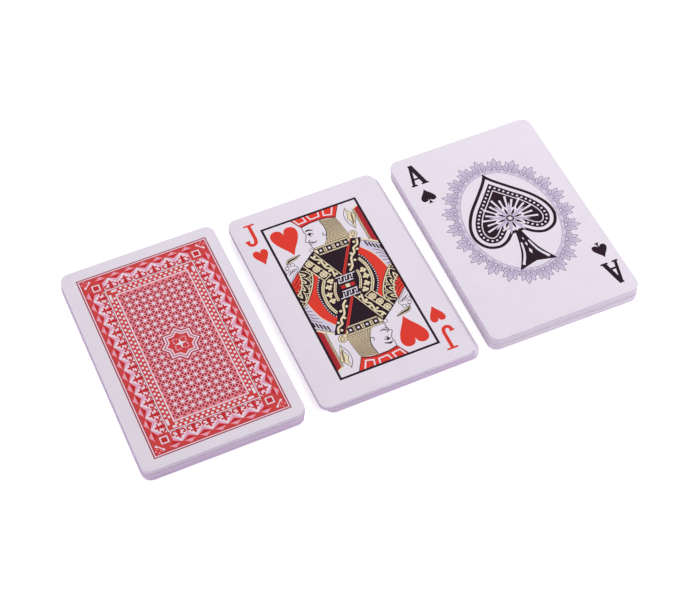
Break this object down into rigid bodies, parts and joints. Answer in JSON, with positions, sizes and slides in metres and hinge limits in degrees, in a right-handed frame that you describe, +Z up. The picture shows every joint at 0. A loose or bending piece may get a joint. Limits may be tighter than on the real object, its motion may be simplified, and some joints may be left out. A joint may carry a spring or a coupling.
{
  "type": "playing card deck",
  "caption": "Full deck of plastic bridge-size playing cards with round corners, cut into a face-down packet and two face-up packets that lie in a row.",
  "frame": {"origin": "on the table, below the middle of the row of three packets", "axes": "+X along the row of packets to the right, +Y along the cards towards their upper ends, +Z up from the table"},
  "size_m": [0.1867, 0.0892, 0.0063],
  "materials": {
    "card_plastic": "satin"
  },
  "bodies": {
    "ace_of_spades": {"ace_of_spades": "card_plastic"},
    "two_of_spades": {"two_of_spades": "card_plastic"},
    "three_of_spades": {"three_of_spades": "card_plastic"},
    "four_of_spades": {"four_of_spades": "card_plastic"},
    "five_of_spades": {"five_of_spades": "card_plastic"},
    "six_of_spades": {"six_of_spades": "card_plastic"},
    "seven_of_spades": {"seven_of_spades": "card_plastic"},
    "eight_of_spades": {"eight_of_spades": "card_plastic"},
    "nine_of_spades": {"nine_of_spades": "card_plastic"},
    "ten_of_spades": {"ten_of_spades": "card_plastic"},
    "jack_of_spades": {"jack_of_spades": "card_plastic"},
    "queen_of_spades": {"queen_of_spades": "card_plastic"},
    "king_of_spades": {"king_of_spades": "card_plastic"},
    "ace_of_hearts": {"ace_of_hearts": "card_plastic"},
    "two_of_hearts": {"two_of_hearts": "card_plastic"},
    "three_of_hearts": {"three_of_hearts": "card_plastic"},
    "four_of_hearts": {"four_of_hearts": "card_plastic"},
    "five_of_hearts": {"five_of_hearts": "card_plastic"},
    "six_of_hearts": {"six_of_hearts": "card_plastic"},
    "seven_of_hearts": {"seven_of_hearts": "card_plastic"},
    "eight_of_hearts": {"eight_of_hearts": "card_plastic"},
    "nine_of_hearts": {"nine_of_hearts": "card_plastic"},
    "ten_of_hearts": {"ten_of_hearts": "card_plastic"},
    "jack_of_hearts": {"jack_of_hearts": "card_plastic"},
    "queen_of_hearts": {"queen_of_hearts": "card_plastic"},
    "king_of_hearts": {"king_of_hearts": "card_plastic"},
    "ace_of_clubs": {"ace_of_clubs": "card_plastic"},
    "two_of_clubs": {"two_of_clubs": "card_plastic"},
    "three_of_clubs": {"three_of_clubs": "card_plastic"},
    "four_of_clubs": {"four_of_clubs": "card_plastic"},
    "five_of_clubs": {"five_of_clubs": "card_plastic"},
    "six_of_clubs": {"six_of_clubs": "card_plastic"},
    "seven_of_clubs": {"seven_of_clubs": "card_plastic"},
    "eight_of_clubs": {"eight_of_clubs": "card_plastic"},
    "nine_of_clubs": {"nine_of_clubs": "card_plastic"},
    "ten_of_clubs": {"ten_of_clubs": "card_plastic"},
    "jack_of_clubs": {"jack_of_clubs": "card_plastic"},
    "queen_of_clubs": {"queen_of_clubs": "card_plastic"},
    "king_of_clubs": {"king_of_clubs": "card_plastic"},
    "ace_of_diamonds": {"ace_of_diamonds": "card_plastic"},
    "two_of_diamonds": {"two_of_diamonds": "card_plastic"},
    "three_of_diamonds": {"three_of_diamonds": "card_plastic"},
    "four_of_diamonds": {"four_of_diamonds": "card_plastic"},
    "five_of_diamonds": {"five_of_diamonds": "card_plastic"},
    "six_of_diamonds": {"six_of_diamonds": "card_plastic"},
    "seven_of_diamonds": {"seven_of_diamonds": "card_plastic"},
    "eight_of_diamonds": {"eight_of_diamonds": "card_plastic"},
    "nine_of_diamonds": {"nine_of_diamonds": "card_plastic"},
    "ten_of_diamonds": {"ten_of_diamonds": "card_plastic"},
    "jack_of_diamonds": {"jack_of_diamonds": "card_plastic"},
    "queen_of_diamonds": {"queen_of_diamonds": "card_plastic"},
    "king_of_diamonds": {"king_of_diamonds": "card_plastic"},
    "black_joker": {"black_joker": "card_plastic"},
    "red_joker": {"red_joker": "card_plastic"}
  },
  "joints": [
    {"name": "left_packet_push", "type": "slide", "parent": "four_of_hearts", "child": "ace_of_hearts", "axis": [-1, 0, 0], "range_m": [0, 0.06]},
    {"name": "right_packet_push", "type": "slide", "parent": "four_of_hearts", "child": "jack_of_clubs", "axis": [1, 0, 0], "range_m": [0, 0.06]},
    {"name": "ace_of_clubs_spread", "type": "slide", "parent": "ace_of_hearts", "child": "ace_of_clubs", "axis": [0, -1, 0], "range_m": [0, 0.024]},
    {"name": "ace_of_diamonds_spread", "type": "slide", "parent": "ace_of_clubs", "child": "ace_of_diamonds", "axis": [0, -1, 0], "range_m": [0, 0.024]},
    {"name": "black_joker_spread", "type": "slide", "parent": "ace_of_diamonds", "child": "black_joker", "axis": [0, -1, 0], "range_m": [0, 0.024]},
    {"name": "queen_of_spades_spread", "type": "slide", "parent": "black_joker", "child": "queen_of_spades", "axis": [0, -1, 0], "range_m": [0, 0.024]},
    {"name": "queen_of_hearts_spread", "type": "slide", "parent": "queen_of_spades", "child": "queen_of_hearts", "axis": [0, -1, 0], "range_m": [0, 0.024]},
    {"name": "queen_of_clubs_spread", "type": "slide", "parent": "queen_of_hearts", "child": "queen_of_clubs", "axis": [0, -1, 0], "range_m": [0, 0.024]},
    {"name": "queen_of_diamonds_spread", "type": "slide", "parent": "queen_of_clubs", "child": "queen_of_diamonds", "axis": [0, -1, 0], "range_m": [0, 0.024]},
    {"name": "ten_of_spades_spread", "type": "slide", "parent": "queen_of_diamonds", "child": "ten_of_spades", "axis": [0, -1, 0], "range_m": [0, 0.024]},
    {"name": "ten_of_hearts_spread", "type": "slide", "parent": "ten_of_spades", "child": "ten_of_hearts", "axis": [0, -1, 0], "range_m": [0, 0.024]},
    {"name": "ten_of_clubs_spread", "type": "slide", "parent": "ten_of_hearts", "child": "ten_of_clubs", "axis": [0, -1, 0], "range_m": [0, 0.024]},
    {"name": "ten_of_diamonds_spread", "type": "slide", "parent": "ten_of_clubs", "child": "ten_of_diamonds", "axis": [0, -1, 0], "range_m": [0, 0.024]},
    {"name": "eight_of_spades_spread", "type": "slide", "parent": "ten_of_diamonds", "child": "eight_of_spades", "axis": [0, -1, 0], "range_m": [0, 0.024]},
    {"name": "eight_of_hearts_spread", "type": "slide", "parent": "eight_of_spades", "child": "eight_of_hearts", "axis": [0, -1, 0], "range_m": [0, 0.024]},
    {"name": "eight_of_clubs_spread", "type": "slide", "parent": "eight_of_hearts", "child": "eight_of_clubs", "axis": [0, -1, 0], "range_m": [0, 0.024]},
    {"name": "eight_of_diamonds_spread", "type": "slide", "parent": "eight_of_clubs", "child": "eight_of_diamonds", "axis": [0, -1, 0], "range_m": [0, 0.024]},
    {"name": "six_of_spades_spread", "type": "slide", "parent": "eight_of_diamonds", "child": "six_of_spades", "axis": [0, -1, 0], "range_m": [0, 0.024]},
    {"name": "six_of_hearts_spread", "type": "slide", "parent": "six_of_spades", "child": "six_of_hearts", "axis": [0, -1, 0], "range_m": [0, 0.024]},
    {"name": "six_of_clubs_spread", "type": "slide", "parent": "six_of_hearts", "child": "six_of_clubs", "axis": [0, -1, 0], "range_m": [0, 0.024]},
    {"name": "six_of_diamonds_spread", "type": "slide", "parent": "six_of_clubs", "child": "six_of_diamonds", "axis": [0, -1, 0], "range_m": [0, 0.024]},
    {"name": "four_of_spades_deal", "type": "slide", "parent": "six_of_diamonds", "child": "four_of_spades", "axis": [0, -1, 0], "range_m": [0, 0.095]},
    {"name": "four_of_clubs_spread", "type": "slide", "parent": "four_of_hearts", "child": "four_of_clubs", "axis": [0, -1, 0], "range_m": [0, 0.024]},
    {"name": "four_of_diamonds_spread", "type": "slide", "parent": "four_of_clubs", "child": "four_of_diamonds", "axis": [0, -1, 0], "range_m": [0, 0.024]},
    {"name": "two_of_spades_spread", "type": "slide", "parent": "four_of_diamonds", "child": "two_of_spades", "axis": [0, -1, 0], "range_m": [0, 0.024]},
    {"name": "two_of_hearts_spread", "type": "slide", "parent": "two_of_spades", "child": "two_of_hearts", "axis": [0, -1, 0], "range_m": [0, 0.024]},
    {"name": "two_of_clubs_spread", "type": "slide", "parent": "two_of_hearts", "child": "two_of_clubs", "axis": [0, -1, 0], "range_m": [0, 0.024]},
    {"name": "two_of_diamonds_spread", "type": "slide", "parent": "two_of_clubs", "child": "two_of_diamonds", "axis": [0, -1, 0], "range_m": [0, 0.024]},
    {"name": "red_joker_spread", "type": "slide", "parent": "two_of_diamonds", "child": "red_joker", "axis": [0, -1, 0], "range_m": [0, 0.024]},
    {"name": "king_of_spades_spread", "type": "slide", "parent": "red_joker", "child": "king_of_spades", "axis": [0, -1, 0], "range_m": [0, 0.024]},
    {"name": "king_of_hearts_spread", "type": "slide", "parent": "king_of_spades", "child": "king_of_hearts", "axis": [0, -1, 0], "range_m": [0, 0.024]},
    {"name": "king_of_clubs_spread", "type": "slide", "parent": "king_of_hearts", "child": "king_of_clubs", "axis": [0, -1, 0], "range_m": [0, 0.024]},
    {"name": "king_of_diamonds_spread", "type": "slide", "parent": "king_of_clubs", "child": "king_of_diamonds", "axis": [0, -1, 0], "range_m": [0, 0.024]},
    {"name": "jack_of_spades_spread", "type": "slide", "parent": "king_of_diamonds", "child": "jack_of_spades", "axis": [0, -1, 0], "range_m": [0, 0.024]},
    {"name": "jack_of_hearts_deal", "type": "slide", "parent": "jack_of_spades", "child": "jack_of_hearts", "axis": [0, -1, 0], "range_m": [0, 0.095]},
    {"name": "jack_of_diamonds_spread", "type": "slide", "parent": "jack_of_clubs", "child": "jack_of_diamonds", "axis": [0, -1, 0], "range_m": [0, 0.024]},
    {"name": "nine_of_spades_spread", "type": "slide", "parent": "jack_of_diamonds", "child": "nine_of_spades", "axis": [0, -1, 0], "range_m": [0, 0.024]},
    {"name": "nine_of_hearts_spread", "type": "slide", "parent": "nine_of_spades", "child": "nine_of_hearts", "axis": [0, -1, 0], "range_m": [0, 0.024]},
    {"name": "nine_of_clubs_spread", "type": "slide", "parent": "nine_of_hearts", "child": "nine_of_clubs", "axis": [0, -1, 0], "range_m": [0, 0.024]},
    {"name": "nine_of_diamonds_spread", "type": "slide", "parent": "nine_of_clubs", "child": "nine_of_diamonds", "axis": [0, -1, 0], "range_m": [0, 0.024]},
    {"name": "seven_of_spades_spread", "type": "slide", "parent": "nine_of_diamonds", "child": "seven_of_spades", "axis": [0, -1, 0], "range_m": [0, 0.024]},
    {"name": "seven_of_hearts_spread", "type": "slide", "parent": "seven_of_spades", "child": "seven_of_hearts", "axis": [0, -1, 0], "range_m": [0, 0.024]},
    {"name": "seven_of_clubs_spread", "type": "slide", "parent": "seven_of_hearts", "child": "seven_of_clubs", "axis": [0, -1, 0], "range_m": [0, 0.024]},
    {"name": "seven_of_diamonds_spread", "type": "slide", "parent": "seven_of_clubs", "child": "seven_of_diamonds", "axis": [0, -1, 0], "range_m": [0, 0.024]},
    {"name": "five_of_spades_spread", "type": "slide", "parent": "seven_of_diamonds", "child": "five_of_spades", "axis": [0, -1, 0], "range_m": [0, 0.024]},
    {"name": "five_of_hearts_spread", "type": "slide", "parent": "five_of_spades", "child": "five_of_hearts", "axis": [0, -1, 0], "range_m": [0, 0.024]},
    {"name": "five_of_clubs_spread", "type": "slide", "parent": "five_of_hearts", "child": "five_of_clubs", "axis": [0, -1, 0], "range_m": [0, 0.024]},
    {"name": "five_of_diamonds_spread", "type": "slide", "parent": "five_of_clubs", "child": "five_of_diamonds", "axis": [0, -1, 0], "range_m": [0, 0.024]},
    {"name": "three_of_spades_spread", "type": "slide", "parent": "five_of_diamonds", "child": "three_of_spades", "axis": [0, -1, 0], "range_m": [0, 0.024]},
    {"name": "three_of_hearts_spread", "type": "slide", "parent": "three_of_spades", "child": "three_of_hearts", "axis": [0, -1, 0], "range_m": [0, 0.024]},
    {"name": "three_of_clubs_spread", "type": "slide", "parent": "three_of_hearts", "child": "three_of_clubs", "axis": [0, -1, 0], "range_m": [0, 0.024]},
    {"name": "three_of_diamonds_spread", "type": "slide", "parent": "three_of_clubs", "child": "three_of_diamonds", "axis": [0, -1, 0], "range_m": [0, 0.024]},
    {"name": "ace_of_spades_deal", "type": "slide", "parent": "three_of_diamonds", "child": "ace_of_spades", "axis": [0, -1, 0], "range_m": [0, 0.095]}
  ]
}
